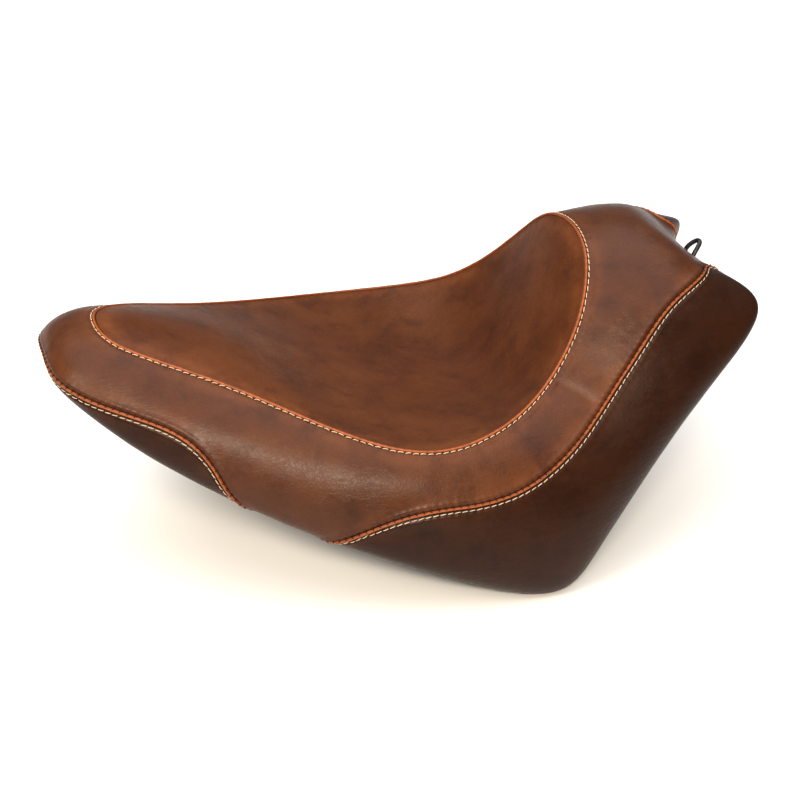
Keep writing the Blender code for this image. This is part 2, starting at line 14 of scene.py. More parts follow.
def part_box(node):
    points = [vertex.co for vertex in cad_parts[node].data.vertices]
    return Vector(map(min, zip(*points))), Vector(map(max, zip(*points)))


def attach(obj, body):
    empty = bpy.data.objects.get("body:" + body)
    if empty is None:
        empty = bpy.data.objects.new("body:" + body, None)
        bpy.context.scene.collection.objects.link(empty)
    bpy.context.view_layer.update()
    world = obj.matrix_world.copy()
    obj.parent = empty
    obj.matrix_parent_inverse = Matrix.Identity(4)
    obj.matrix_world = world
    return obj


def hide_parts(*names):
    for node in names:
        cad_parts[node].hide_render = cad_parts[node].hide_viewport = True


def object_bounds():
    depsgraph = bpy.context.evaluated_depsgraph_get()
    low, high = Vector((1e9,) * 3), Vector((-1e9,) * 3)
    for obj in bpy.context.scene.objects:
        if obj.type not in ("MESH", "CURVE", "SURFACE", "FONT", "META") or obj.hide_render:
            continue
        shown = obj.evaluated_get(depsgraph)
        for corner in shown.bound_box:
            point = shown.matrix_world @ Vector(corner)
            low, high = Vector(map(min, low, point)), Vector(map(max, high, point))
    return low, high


# Overall size of the skin that every layer is offset from, metres, as in the CAD
LENGTH = 0.569
WIDTH = 0.368
HEIGHT = 0.240
# Thickness of the CAD's hides and pan, and the clearance between them, metres
COVER = 0.0020
PAN = 0.0035
GAP = 0.0003
FLIP = np.array((1, -1, 1))

# Closed lines around the skin at stations 0 (nose) to 10 (rear), millimetres as first drawn
SEAM_LINE = (
    (43, 0, 211), (53, 31, 207), (90, 53, 194), (154, 84, 170), (246, 135, 139), (320, 134, 137),
    (372, 109, 154), (408, 84, 188), (426, 60, 219), (434, 34, 236), (437, 0, 241),
)
SHOULDER_LINE = (
    (22, 0, 211), (34, 43, 204), (78, 70, 186), (142, 102, 162), (235, 150, 128), (330, 158, 118),
    (410, 136, 134), (456, 112, 174), (490, 88, 208), (502, 50, 230), (492, 0, 242),
)
FLANK_LINE = (
    (3, 0, 198), (11, 46, 190), (57, 83, 168), (127, 118, 138), (224, 163, 100), (344, 182, 64),
    (430, 157, 96), (504, 122, 154), (550, 88, 194), (534, 44, 214), (524, 0, 218),
)
EDGE_LINE = (
    (6, 0, 176), (12, 40, 172), (52, 79, 143), (118, 115, 106), (210, 158, 69), (346, 178, 15),
    (414, 160, 41), (502, 122, 125), (568, 86, 182), (553, 46, 198), (540, 0, 201),
)
HEM_LINE = (
    (28, 0, 172), (32, 28, 168), (65, 60, 140), (130, 94, 104), (215, 138, 64), (344, 157, 14),
    (404, 142, 46), (488, 104, 122), (548, 70, 168), (538, 38, 180), (530, 0, 184),
)
HOLLOW_LINE = (
    (35, 0, 171), (45, 20, 170), (82, 42, 158), (148, 72, 136), (230, 112, 100), (328, 125, 72),
    (376, 112, 96), (440, 84, 146), (495, 52, 174), (515, 28, 184), (512, 0, 186),
)
CROWN_LINE = (
    (50, 0, 170), (65, 0, 169), (110, 0, 160), (175, 0, 138), (245, 0, 102), (312, 0, 82),
    (356, 0, 94), (405, 0, 134), (455, 0, 162), (485, 0, 177), (495, 0, 182),
)
SKIN_LINES = (SEAM_LINE, SHOULDER_LINE, FLANK_LINE, EDGE_LINE, HEM_LINE, HOLLOW_LINE, CROWN_LINE)
TOP_LINE = (
    (56, 212), (72, 209), (110, 197), (172, 169), (245, 136), (315, 126), (362, 139), (392, 175),
    (410, 204), (421, 222), (430, 235),
)
FRONT_SEAM = (
    (0, 3.3), (1, 3.25), (2, 2.97), (2.4, 2.95), (2.7, 3.15), (2.85, 3.4), (3, 3.8), (3.2, 4.5), (3.3, 5.15),
)
REAR_SEAM = (
    (3.6, 5.15), (3.72, 4.7), (3.85, 4.15), (3.95, 3.6), (4.2, 2.82), (4.6, 2.47), (5.1, 2.3), (5.6, 2.1),
    (6, 1.94), (6.4, 1.88), (7, 1.92), (7.5, 1.95), (8, 2.05), (8.4, 2.3), (8.7, 2.65), (8.9, 3.1),
    (9.05, 3.8), (9.2, 4.5), (9.3, 5.15),
)
HEM = 5.0

# Facets of the CAD skin, whose scale and origin this file shares
CAD_ROWS = (0, 0.5, 1, 1.45, 1.9, 2.35, 2.8, 3.25, 3.65, 4.0, 4.25, 4.6, 5.0)
CAD_COLUMNS = np.concatenate((np.arange(0, 2, 0.4), np.arange(2, 8, 1 / 3), np.linspace(8, 10, 8)))

# Sewing, metres
STITCH = 0.0058
STITCH_GAP = 0.0010
SEAM_POINTS = 12
SEAM_REACH = 0.045
STITCH_OUT = 0.0031
STITCH_OUT_INSERT = 0.0023
THREAD = 0.00040
THREAD_LOWER = 0.00033
WELT = 0.00115
WELT_LOW = -0.0004
# Short thread pulls over the piping at the needle holes, near-black as painted shade of the needle notches
PULL_OUT = 0.0011
PULL_LENGTH = 0.0019

# Relief of the leather beside a seam, metres: how far out, how wide and how high or deep
GROOVE = 0.0023
GROOVE_WIDTH = 0.0016
CHANNEL = 0.00040
CHANNEL_WIDTH = 0.0010
ROLL = 0.00030
ROLL_OUT = 0.0058
ROLL_WIDTH = 0.0016
NOTCH = 0.0005
NOTCH_OUT = 0.0024
NOTCH_WIDTH = 0.0010
PUCKER = 0.00035
PUCKER_OUT = 0.0046
PUCKER_WIDTH = 0.0017
GATHER = 0.00012
GATHER_REACH = 0.009
RUBBED_OUT = 0.008
RUBBED_WIDTH = 0.006

# Padding
SLACK = 0.0007
MOST_SWELL = 0.0040
# How firmly the foam holds the middle of each panel, and the pressure that swells it
CLOTH = (0.02, 9)
CLOTH_INSERT = (0.30, 4)
CLOTH_FRAMES = 20

# Leather panels, metres: step of their grid along the seams, thickness, and the middle and reach of the
# painted shade in the bowl
PANEL_STEP = 0.0017
LEATHER = 0.0014
BOWL_SHADE_X = 0.065
BOWL_SHADE_REACH = 0.085
FLOOR_ALBEDO = 0.80


# ---- the skin --------------------------------------------


def bends(knots):
    """Matrix from the values at the knots to the second derivatives of their natural cubic spline."""
    count = len(knots)
    gaps = np.diff(knots)
    left = np.eye(count)
    right = np.zeros((count, count))
    for i in range(1, count - 1):
        left[i, i - 1 : i + 2] = gaps[i - 1], 2 * (gaps[i - 1] + gaps[i]), gaps[i]
        right[i, i - 1 : i + 2] = 6 / gaps[i - 1], -6 / gaps[i - 1] - 6 / gaps[i], 6 / gaps[i]
    return np.linalg.solve(left, right)


def spline(knots, values, at):
    """Points at the places `at` on the natural cubic spline through the values at the knots."""
    knots = np.asarray(knots, float)
    values = np.asarray(values, float)
    gaps = np.diff(knots)
    bend = np.tensordot(bends(knots), values, 1)
    k = np.clip(np.searchsorted(knots, at, side="right") - 1, 0, len(gaps) - 1)
    extra = (None,) * (values.ndim - 1)
    gap = gaps[k][(..., *extra)]
    b = ((np.asarray(at) - knots[k]) / gaps[k])[(..., *extra)]
    a = 1 - b
    curve = (a**3 - a) * bend[k] + (b**3 - b) * bend[k + 1]
    return a * values[k] + b * values[k + 1] + curve * gap**2 / 6


def around(line, v):
    """Points at the stations v, from 0 to 10, of a closed line that is drawn on the left half only."""
    left = np.array(line, float) * FLIP
    right = left * FLIP
    last = len(left) - 1
    values = np.vstack((right[3:0:-1], left, right[last - 1 : last - 4 : -1]))
    return spline(np.arange(-3, last + 4), values, v)


def drawn_skin(u, v):
    """Points of the skin as drawn, in millimetres, for rows of u over the stations v."""
    lines = [around(line, v) for line in SKIN_LINES]
    across = np.array([*lines, lines[5] * FLIP, lines[4] * FLIP])
    bend = np.tensordot(bends(np.arange(1, 10)), across, 1)
    k = np.clip(np.floor(u).astype(int) - 1, 0, 7)
    column = np.arange(len(v))[None, :]
    b = (u - 1 - k)[..., None]
    a = 1 - b
    curve = (a**3 - a) * bend[k, column] + (b**3 - b) * bend[k + 1, column]
    points = a * across[k, column] + b * across[k + 1, column] + curve / 6
    seam = lines[0]
    top = np.array(TOP_LINE, float)
    top_x = spline(np.arange(11), top[:, 0], 10 - np.abs(10 - np.abs(v)))
    top_z = spline(top[:, 0], top[:, 1], top_x)
    slope = spline(top[:, 0], top[:, 1], top_x + 0.5) - spline(top[:, 0], top[:, 1], top_x - 0.5)
    run = seam[:, 0] - top_x
    w = np.minimum(u, 1)
    rise = slope * run
    panel_z = top_z + rise * w + (seam[:, 2] - top_z - rise) * w**2
    panel = np.stack((top_x + run * w, seam[:, 1] * w, panel_z), axis=-1)
    return np.where((u < 1)[..., None], panel, points)


def drawn_box():
    u = np.repeat(np.array(CAD_ROWS, float)[:, None], len(CAD_COLUMNS), axis=1)
    points = drawn_skin(u, CAD_COLUMNS).reshape(-1, 3)
    points = np.vstack((points, points * FLIP))
    return points.min(axis=0), points.max(axis=0)


DRAWN_LOW, DRAWN_HIGH = drawn_box()
SCALE = np.array((LENGTH, WIDTH, HEIGHT)) / (DRAWN_HIGH - DRAWN_LOW)
DRAWN_ORIGIN = np.array(((DRAWN_LOW[0] + DRAWN_HIGH[0]) / 2, 0, DRAWN_LOW[2]))


def skin(u, v, side=1):
    """Points and outward normals of the skin. v runs 0 to 10, and side is 1 on the left, -1 on the right."""
    e = 0.01
    inside = np.clip(u, 0.05, 6.95)
    along = (drawn_skin(inside + e, v) - drawn_skin(inside - e, v)) * SCALE
    round_it = (drawn_skin(inside, v + e) - drawn_skin(inside, v - e)) * SCALE
    normals = np.cross(along, round_it)
    normals /= np.linalg.norm(normals, axis=-1, keepdims=True)
    points = (drawn_skin(u, v) - DRAWN_ORIGIN) * SCALE
    flip = np.ones(points.shape)
    flip[..., 1] = np.broadcast_to(side, points.shape[:-1])
    return points * flip, normals * flip


def seam_u(knots, v):
    knots = np.array(knots, float)
    return spline(knots[:, 0], knots[:, 1], v)


def crossing(knots, low, high):
    """The station where a seam meets the hem, between two stations."""
    v = np.linspace(low, high, 400)
    return v[np.abs(seam_u(knots, v) - HEM).argmin()]


FRONT_END = crossing(FRONT_SEAM, 3.1, 3.3)
REAR_START = crossing(REAR_SEAM, 3.6, 3.75)
REAR_END = crossing(REAR_SEAM, 9.2, 9.3)


def band_edge(v):
    """Outer edge of the band: the front seam, the hem, the rear seam and the hem again."""
    a = np.abs(v)
    edge = np.full(a.shape, HEM)
    front = a < FRONT_END
    rear = (a > REAR_START) & (a < REAR_END)
    edge[front] = seam_u(FRONT_SEAM, a[front])
    edge[rear] = seam_u(REAR_SEAM, a[rear])
    return np.minimum(edge, HEM)


# ---- panels ----------------------------------------------


def graded(count, ends=0.45):
    """Row places from 0 to 1, closer together towards both ends."""
    t = np.linspace(0, 1, count)
    return (1 - ends) * t + ends * (1 - np.cos(np.pi * t)) / 2


def stations(low, high, edges, step):
    """Stations v, with no step along any of the edge curves u(v) longer than `step` metres."""
    v = np.linspace(low, high, 6000)
    steps = np.zeros(len(v) - 1)
    for edge in edges:
        points, _ = skin(edge(v)[None], np.abs(v), np.sign(v + 1e-12))
        steps = np.maximum(steps, np.linalg.norm(np.diff(points[0], axis=0), axis=1))
    travelled = np.concatenate(((0,), np.cumsum(steps + 1e-7)))
    count = int(travelled[-1] / step) + 2
    return np.interp(np.linspace(0, travelled[-1], count), travelled, v)


class Panel:
    """A piece of the skin as a grid: rows run across it, columns along it."""

    def __init__(self, name, rows, columns, inner, outer, both_sides=False, spans=None):
        self.name = name
        self.rows = rows
        self.columns = columns
        self.inner = inner
        self.outer = outer
        self.both_sides = both_sides
        self.spans = spans

    def places(self, rows, columns):
        s = rows[:, None]
        if self.both_sides:
            w = self.inner(columns) + s * (self.outer(columns) - self.inner(columns))
            return self.spans(w) + (columns,)
        u = self.inner(columns) + s * (self.outer(columns) - self.inner(columns))
        side = np.broadcast_to(np.where(columns < 0, -1, 1), u.shape)
        return u, side, np.abs(columns)

    def surface(self, rows=None, columns=None):
        rows = self.rows if rows is None else rows
        columns = self.columns if columns is None else columns
        u, side, v = self.places(rows, columns)
        points, normals = skin(u, v, side)
        return points, normals, u


def welded(grid):
    """Corner numbers of a grid, the same for corners at the same place, and the first of each."""
    flat = np.round(grid.reshape(-1, 3) * 1e5).astype(np.int64)
    _, first, ids = np.unique(flat, axis=0, return_index=True, return_inverse=True)
    return ids.reshape(grid.shape[:2]), first


def grid_mesh(name, grid, extra=None):
    """Mesh of quads over a grid, with corners at the same place joined; extra holds named point values."""
    ids, first = welded(grid)
    faces = []
    rows, columns = ids.shape
    for i in range(rows - 1):
        low = ids[i]
        high = ids[i + 1]
        for j in range(columns - 1):
            loop = []
            for corner in (low[j], high[j], high[j + 1], low[j + 1]):
                if corner not in loop:
                    loop.append(int(corner))
            if len(loop) > 2:
                faces.append(loop)
    mesh = bpy.data.meshes.new(name)
    mesh.from_pydata([tuple(p) for p in grid.reshape(-1, 3)[first]], [], faces)
    for key, values in (extra or {}).items():
        attribute = mesh.attributes.new(key, "FLOAT", "POINT")
        attribute.data.foreach_set("value", values.reshape(-1)[first].astype(np.float32))
    mesh.shade_smooth()
    return mesh, ids


def add(name, data, *materials):
    obj = bpy.data.objects.new(name, data)
    bpy.context.scene.collection.objects.link(obj)
    for material in materials:
        data.materials.append(material)
    return obj


def simulate(panels):
    """Swells coarse copies of the panels as cloth under pressure, held at their edges.

    Returns, for each panel, how far each place of its fine grid moves.
    """
    coarse = {}
    for panel in panels:
        rows = np.linspace(0, 1, 15)
        count = max(12, len(panel.columns) // 5)
        index = np.linspace(0, len(panel.columns) - 1, count)
        columns = np.interp(index, np.arange(len(panel.columns)), panel.columns)
        points, normals, _ = panel.surface(rows, columns)
        inset = np.minimum(rows, 1 - rows) * 2
        lowered = points - normals * (SLACK * np.clip(inset * 3, 0, 1))[:, None, None]
        mesh, ids = grid_mesh("sim_" + panel.name, lowered)
        obj = add("sim_" + panel.name, mesh)
        held = obj.vertex_groups.new(name="held")
        held.add([int(i) for i in np.unique(ids[[0, -1]])], 1.0, "REPLACE")
        if panel.name.startswith("cover_rear") or panel.name == "cover_front_skirt":
            held.add([int(i) for i in np.unique(ids[:, [0, -1]])], 1.0, "REPLACE")
        backed, pressure = CLOTH_INSERT if panel.name == "cover_insert" else CLOTH
        inner = np.setdiff1d(np.unique(ids), [v.index for v in obj.data.vertices if v.groups])
        held.add([int(i) for i in inner], backed, "REPLACE")
        cloth = obj.modifiers.new("swell", "CLOTH")
        settings = cloth.settings
        settings.quality = 5
        settings.mass = 0.3
        settings.tension_stiffness = 15
        settings.compression_stiffness = 15
        settings.shear_stiffness = 8
        settings.bending_stiffness = 3
        settings.use_pressure = True
        settings.uniform_pressure_force = pressure
        settings.vertex_group_mass = "held"
        settings.effector_weights.gravity = 0
        cloth.collision_settings.use_collision = False
        cloth.point_cache.frame_start = 1
        cloth.point_cache.frame_end = CLOTH_FRAMES
        coarse[panel.name] = (obj, ids, points, rows, index)
    for frame_number in range(1, CLOTH_FRAMES + 1):
        bpy.context.scene.frame_set(frame_number)
    graph = bpy.context.evaluated_depsgraph_get()
    moves = {}
    for panel in panels:
        obj, ids, points, rows, index = coarse[panel.name]
        shape = obj.evaluated_get(graph).data
        moved = np.empty(len(shape.vertices) * 3)
        shape.vertices.foreach_get("co", moved)
        move = moved.reshape(-1, 3)[ids] - points
        length = np.linalg.norm(move, axis=-1, keepdims=True)
        move *= np.minimum(1, MOST_SWELL / np.maximum(length, 1e-9))
        fine = spline(rows, move, panel.rows)
        fine = spline(index, fine.transpose(1, 0, 2), np.arange(len(panel.columns)))
        moves[panel.name] = fine.transpose(1, 0, 2)
    bpy.context.scene.frame_set(1)
    for obj, *_ in coarse.values():
        bpy.data.objects.remove(obj, do_unlink=True)
    return moves


# ---- seams -----------------------------------------------


class Seam:
    """A line of piping: points, normals and directions every half millimetre or so, and its length so far."""

    def __init__(self, name, v, u, closed=False):
        self.name = name
        self.closed = closed
        self.stitch_out = STITCH_OUT_INSERT if closed else STITCH_OUT
        points, normals = skin(u[None], np.abs(v), np.where(v < 0, -1, 1))
        points, normals = points[0], normals[0]
        travelled = np.concatenate(((0,), np.cumsum(np.linalg.norm(np.diff(points, axis=0), axis=1))))
        count = round(travelled[-1] / STITCH)
        self.pitch = travelled[-1] / count
        at = np.linspace(0, travelled[-1], count * SEAM_POINTS + 1)
        self.at = at
        self.points = np.stack([np.interp(at, travelled, points[:, k]) for k in range(3)], axis=-1)
        self.normals = np.stack([np.interp(at, travelled, normals[:, k]) for k in range(3)], axis=-1)
        self.normals /= np.linalg.norm(self.normals, axis=1, keepdims=True)
        ahead = np.gradient(self.points, axis=0)
        if closed:
            ahead[0] = ahead[-1] = self.points[1] - self.points[-2]
        self.ahead = ahead / np.linalg.norm(ahead, axis=1, keepdims=True)
        # In the skin, square to the seam: outwards, but inwards on rear_right, which runs the other way
        self.out = np.cross(self.ahead, self.normals)
        self.tree = KDTree(len(self.points))
        for i, point in enumerate(self.points):
            self.tree.insert(point, i)
        self.tree.balance()

    def nearest(self, grid):
        """Distance of each place of a grid from the seam and the length along it there."""
        flat = grid.reshape(-1, 3)
        distance = np.full(len(flat), 1.0)
        along = np.zeros(len(flat))
        low = self.points.min(axis=0) - SEAM_REACH
        high = self.points.max(axis=0) + SEAM_REACH
        near = np.nonzero(((flat > low) & (flat < high)).all(axis=1))[0]
        for i in near:
            _, number, far = self.tree.find(flat[i])
            distance[i] = far
            along[i] = self.at[number]
        return distance.reshape(grid.shape[:2]), along.reshape(grid.shape[:2])


def make_seams():
    loop = np.linspace(-10, 10, 4001)
    front = np.linspace(-FRONT_END - 0.02, FRONT_END + 0.02, 1601)
    rear = np.linspace(REAR_START - 0.01, REAR_END + 0.01, 2001)
    return {
        "insert": Seam("insert", loop, np.ones(len(loop)), closed=True),
        "front": Seam("front", front, seam_u(FRONT_SEAM, np.abs(front))),
        "rear_left": Seam("rear_left", rear, seam_u(REAR_SEAM, rear)),
        "rear_right": Seam("rear_right", -rear, seam_u(REAR_SEAM, rear)),
    }


def value_noise(points, scale, seed=0.0):
    offset = Vector((seed, seed * 0.7, -seed))
    values = [noise.noise(Vector(p) * scale + offset) for p in points.reshape(-1, 3)]
    return np.array(values).reshape(points.shape[:2])


def ridge(distance, out, width):
    """1 on a line that far out from the seam, falling smoothly to 0 on both sides."""
    return np.exp(-(((distance - out) / width) ** 2))


def seam_relief(grid, seam, stitched, puckered):
    """How far the leather stands proud near one seam, how much shade is painted into its colour there, and
    how rubbed it is there.
    """
    distance, along = seam.nearest(grid)
    beat = np.cos(2 * np.pi * along / seam.pitch)
    fine = seam.closed or puckered
    groove = ridge(distance, 0, GROOVE_WIDTH * (0.8 if fine else 1.0))
    height = -GROOVE * groove
    # Painted shade: the groove beside the piping is coloured as if it lay in shade
    painted_shade = (0.5 if fine else 0.9) * groove
    if stitched:
        channel = ridge(distance, seam.stitch_out, CHANNEL_WIDTH)
        height -= CHANNEL * channel * (1 + 0.7 * beat)
        # Painted shade along the stitch channel
        painted_shade += (0.12 if seam.closed else 0.35) * channel * (0.6 + 0.4 * beat)
        height += ROLL * ridge(distance, ROLL_OUT, ROLL_WIDTH) * (1 - 0.35 * beat)
    if puckered:
        notch = ridge(distance, NOTCH_OUT, NOTCH_WIDTH) * (0.5 + 0.5 * beat) ** 2
        height -= NOTCH * notch
        # Painted shade in the needle notches
        painted_shade += 0.6 * notch
        height += PUCKER * ridge(distance, PUCKER_OUT, PUCKER_WIDTH) * (1 - 0.6 * beat)
    gather = np.exp(-distance / GATHER_REACH) * (distance > 0.001)
    ripple = np.sin(2 * np.pi * along / (seam.pitch * 2.3) + 3 * np.sin(along * 90))
    height += GATHER * gather * ripple
    return height, painted_shade, ridge(distance, RUBBED_OUT, RUBBED_WIDTH) * 0.5


def thicken(obj, thickness):
    shell = obj.modifiers.new("thickness", "SOLIDIFY")
    shell.thickness = thickness
    shell.offset = -1


def build_panel(panel, moves, seams, leather):
    """One leather panel: swollen, drawn in at its seams, gathered at its hem. Returns its face as a tree."""
    points, normals, u = panel.surface()
    if panel.name in moves:
        base = points + moves[panel.name]
    else:
        edge = np.minimum(panel.rows, 1 - panel.rows)
        base = points + normals * (0.0015 * np.clip(edge * 6, 0, 1) ** 0.7)[:, None, None]
    height = np.zeros(points.shape[:2])
    painted_shade = np.zeros(points.shape[:2])
    rubbed = np.zeros(points.shape[:2])
    for seam, stitched, puckered in seams:
        more, seam_shade, worn = seam_relief(points, seam, stitched, puckered)
        height += more
        painted_shade = np.maximum(painted_shade, seam_shade)
        rubbed = np.maximum(rubbed, worn)
    if panel.name != "cover_insert":
        under = np.clip((u - 4.25) / 0.6, 0, 1)
        waves = value_noise(points * (1, 1, 0.4), 95, 4.0)
        pleats = np.abs(value_noise(points, 150, 9.0))
        height += under * (0.0009 * waves - 0.0012 * np.exp(-((pleats / 0.06) ** 2)))
        # Painted shade in the troughs of the gathered pleats under the hem
        painted_shade = np.maximum(painted_shade, under * 0.5 * np.exp(-((pleats / 0.08) ** 2)))
    if panel.name == "cover_band":
        # Painted shade: the lower flank, which turns away from the lights, is coloured as if in shade
        painted_shade = np.maximum(painted_shade, 0.42 * np.clip((u - 2.25) / 1.0, 0, 1) ** 1.5)
    if panel.name == "cover_insert":
        # Painted shade: the insert's bowl is coloured as if in shade
        painted_shade = np.maximum(painted_shade, 0.26 * ridge(points[..., 0], BOWL_SHADE_X, BOWL_SHADE_REACH))
    height += 0.00035 * value_noise(points, 22, 2.0) + 0.00012 * value_noise(points, 70, 6.0)
    grid = base + normals * height[..., None]
    mesh, _ = grid_mesh(panel.name + "_leather", grid, {"painted_shade": painted_shade, "rubbed": rubbed})
    obj = add(panel.name + "_leather", mesh, leather)
    thicken(obj, LEATHER)
    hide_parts(panel.name)
    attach(obj, "root")
    return BVHTree.FromPolygons([v.co for v in mesh.vertices], [tuple(p.vertices) for p in mesh.polygons])


def tube_grid(centres, normals, outs, radius, sides, low):
    """Grid of a tube, moved by `low` along its normals. radius is an array over (ring, side)."""
    angle = np.linspace(0, 2 * np.pi, sides + 1)
    up = np.cos(angle)
    across = np.sin(angle)
    ring = normals[:, None] * up[:, None] + outs[:, None] * across[:, None]
    return centres[:, None] + normals[:, None] * low + ring * radius[..., None]


def build_welt(seam, node, piping):
    """Piping: a cord in a folded strip, pinched between the stitches, paler along its top partly from rubbing
    and partly as a painted highlight.
    """
    keep = slice(None, None, 2)
    points, normals, outs, at = (part[keep] for part in (seam.points, seam.normals, seam.out, seam.at))
    sides = 14
    angle = np.linspace(0, 2 * np.pi, sides + 1)[None]
    beat = np.cos(2 * np.pi * at / seam.pitch)[:, None]
    inner = np.clip(-np.sin(angle), 0, 1)
    outer = np.clip(np.sin(angle), 0, 1)
    drawn = 0.03 * beat if seam.closed else 0.16 * (0.5 + 0.5 * beat) ** 2
    pinch = 1 + 0.035 * beat * outer - drawn * inner
    wander = 1 + 0.04 * np.sin(at * 310)[:, None] + 0.03 * np.sin(at * 127 + 1)[:, None]
    grid = tube_grid(points, normals, outs, WELT * pinch * wander, sides, WELT_LOW)
    # Paler on the side facing up and out: partly rubbed wear, partly painted highlight
    crest_wear_and_highlight = np.clip(np.cos(angle - 0.6), 0, 1) ** 4 * (0.75 - 0.25 * beat)
    if not seam.closed:
        first = np.repeat(grid[:1].mean(axis=1, keepdims=True), sides + 1, axis=1)
        last = np.repeat(grid[-1:].mean(axis=1, keepdims=True), sides + 1, axis=1)
        grid = np.concatenate((first, grid, last))
        crest_wear_and_highlight = np.vstack((crest_wear_and_highlight[:1], crest_wear_and_highlight, crest_wear_and_highlight[-1:]))
    else:
        grid[-1] = grid[0]
    mesh, _ = grid_mesh(node + "_piping", grid, {"crest_wear_and_highlight": crest_wear_and_highlight})
    obj = add(node + "_piping", mesh, piping)
    outward(obj)
    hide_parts(node)
    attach(obj, "root")


def outward(obj):
    shape = bmesh.new()
    shape.from_mesh(obj.data)
    bmesh.ops.recalc_face_normals(shape, faces=shape.faces)
    shape.to_mesh(obj.data)
    shape.free()


def capsule(length, radius, arch, sides=8, rings=11):
    """Rings of points of one stitch: X along it, Z up. Its ends dive."""
    t = np.linspace(-1, 1, rings)
    x = t * length / 2
    z = arch * (1 - np.abs(t) ** 2.6) - arch * 0.5
    thin = np.sqrt(np.clip(1 - np.abs(t) ** 7, 0.12, 1))
    angle = np.linspace(0, 2 * np.pi, sides, endpoint=False)
    points = np.empty((rings, sides, 3))
    points[..., 0] = x[:, None]
    points[..., 1] = radius * np.cos(angle)[None] * thin[:, None]
    points[..., 2] = z[:, None] + 0.8 * radius * np.sin(angle)[None] * thin[:, None]
    return points


def scatter_capsules(name, frames, shape, material):
    """One object of many small rounded bars, each placed by a frame (origin, ahead, side, up)."""
    rings, sides, _ = shape.shape
    points = []
    faces = []
    for origin, ahead, side, up in frames:
        start = len(points)
        placed = origin + shape[..., :1] * ahead + shape[..., 1:2] * side + shape[..., 2:] * up
        points.extend(map(tuple, placed.reshape(-1, 3)))
        for i in range(rings - 1):
            for j in range(sides):
                k = (j + 1) % sides
                a = start + i * sides
                faces.append((a + j, a + k, a + sides + k, a + sides + j))
        faces.append(tuple(start + j for j in reversed(range(sides))))
        faces.append(tuple(start + (rings - 1) * sides + j for j in range(sides)))
    mesh = bpy.data.meshes.new(name)
    mesh.from_pydata(points, [], faces)
    mesh.shade_smooth()
    obj = add(name, mesh, material)
    outward(obj)
    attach(obj, "root")


def landed_frame(tree, point, ahead, lift, turn=0.0):
    """Frame on the surface next to a point, turned about its normal."""
    place, normal, _, _ = tree.find_nearest(Vector(point))
    up = np.array(normal)
    side = np.cross(up, ahead)
    side /= np.linalg.norm(side)
    forward = np.cross(side, up)
    c, s = math.cos(turn), math.sin(turn)
    return (np.array(place) + up * lift, forward * c + side * s, side * c - forward * s, up)


def build_stitches(seam, tree, thread):
    """Lockstitches beside the piping, on the side that the seam's `out` points to."""
    frames = []
    for k in range(round(seam.at[-1] / seam.pitch)):
        i = k * SEAM_POINTS + SEAM_POINTS // 2
        target = seam.points[i] + seam.out[i] * seam.stitch_out
        wobble = noise.noise(Vector((k * 0.7, 3.1, 0)))
        frames.append(landed_frame(tree, target, seam.ahead[i], 0.00024, 0.09 + 0.05 * wobble))
    shape = capsule(seam.pitch - STITCH_GAP, THREAD if seam.closed else THREAD_LOWER, 0.0006)
    scatter_capsules("stitches_" + seam.name, frames, shape, thread)


def build_notch_shade_pulls(seam, thread):
    """Short loops of thread on the piping's other side, one at each needle hole, near-black as painted shade
    of the needle notches.
    """
    frames = []
    for k in range(1, round(seam.at[-1] / seam.pitch)):
        i = k * SEAM_POINTS
        normal, out = seam.normals[i], seam.out[i]
        centre = seam.points[i] - out * PULL_OUT + normal * WELT * 0.35
        ahead = normal * 0.60 + out * 0.80 + seam.ahead[i] * 0.2 * noise.noise(Vector((k * 1.1, 8.2, 0)))
        ahead /= np.linalg.norm(ahead)
        side = np.cross(normal, ahead)
        side /= np.linalg.norm(side)
        frames.append((centre, ahead, side, np.cross(ahead, side)))
    shape = capsule(PULL_LENGTH, 0.00055, 0.0004)
    scatter_capsules("notch_shade_pulls_" + seam.name, frames, shape, thread)


def build_staples(panel_trees, steel):
    """Staples that hold the turned hem to the pan."""
    frames = []
    for side in (1, -1):
        v = np.linspace(0.25, 9.8, 46)
        u = np.full((1, len(v)), 4.78)
        points, _ = skin(u, v, side)
        ahead = np.gradient(points[0], axis=0)
        for k in range(len(v)):
            best = min(panel_trees, key=lambda t: t.find_nearest(Vector(points[0, k]))[3])
            direction = ahead[k] / np.linalg.norm(ahead[k])
            turn = 0.25 * noise.noise(Vector((k * 1.3, side * 5.0, 0)))
            frames.append(landed_frame(best, points[0, k], direction, 0.0002, turn))
    shape = capsule(0.0095, 0.00045, 0.0003, 6, 7)
    scatter_capsules("hem_staples", frames, shape, steel)


# ---- under the seat --------------------------------------


def under_span(w):
    return np.where(w <= 7, w, 14 - w), np.where(w <= 7, 1, -1)


def insert_span(w):
    return np.abs(w), np.where(w < 0, -1, 1)


def constant(value):
    return lambda v: np.full(np.shape(v), float(value))


def bar(distance, half, soft=0.0012):
    """1 on a rib of that half width, falling softly to 0 beside it."""
    return 1 / (1 + np.exp((np.abs(distance) - half) / (soft * 0.35)))


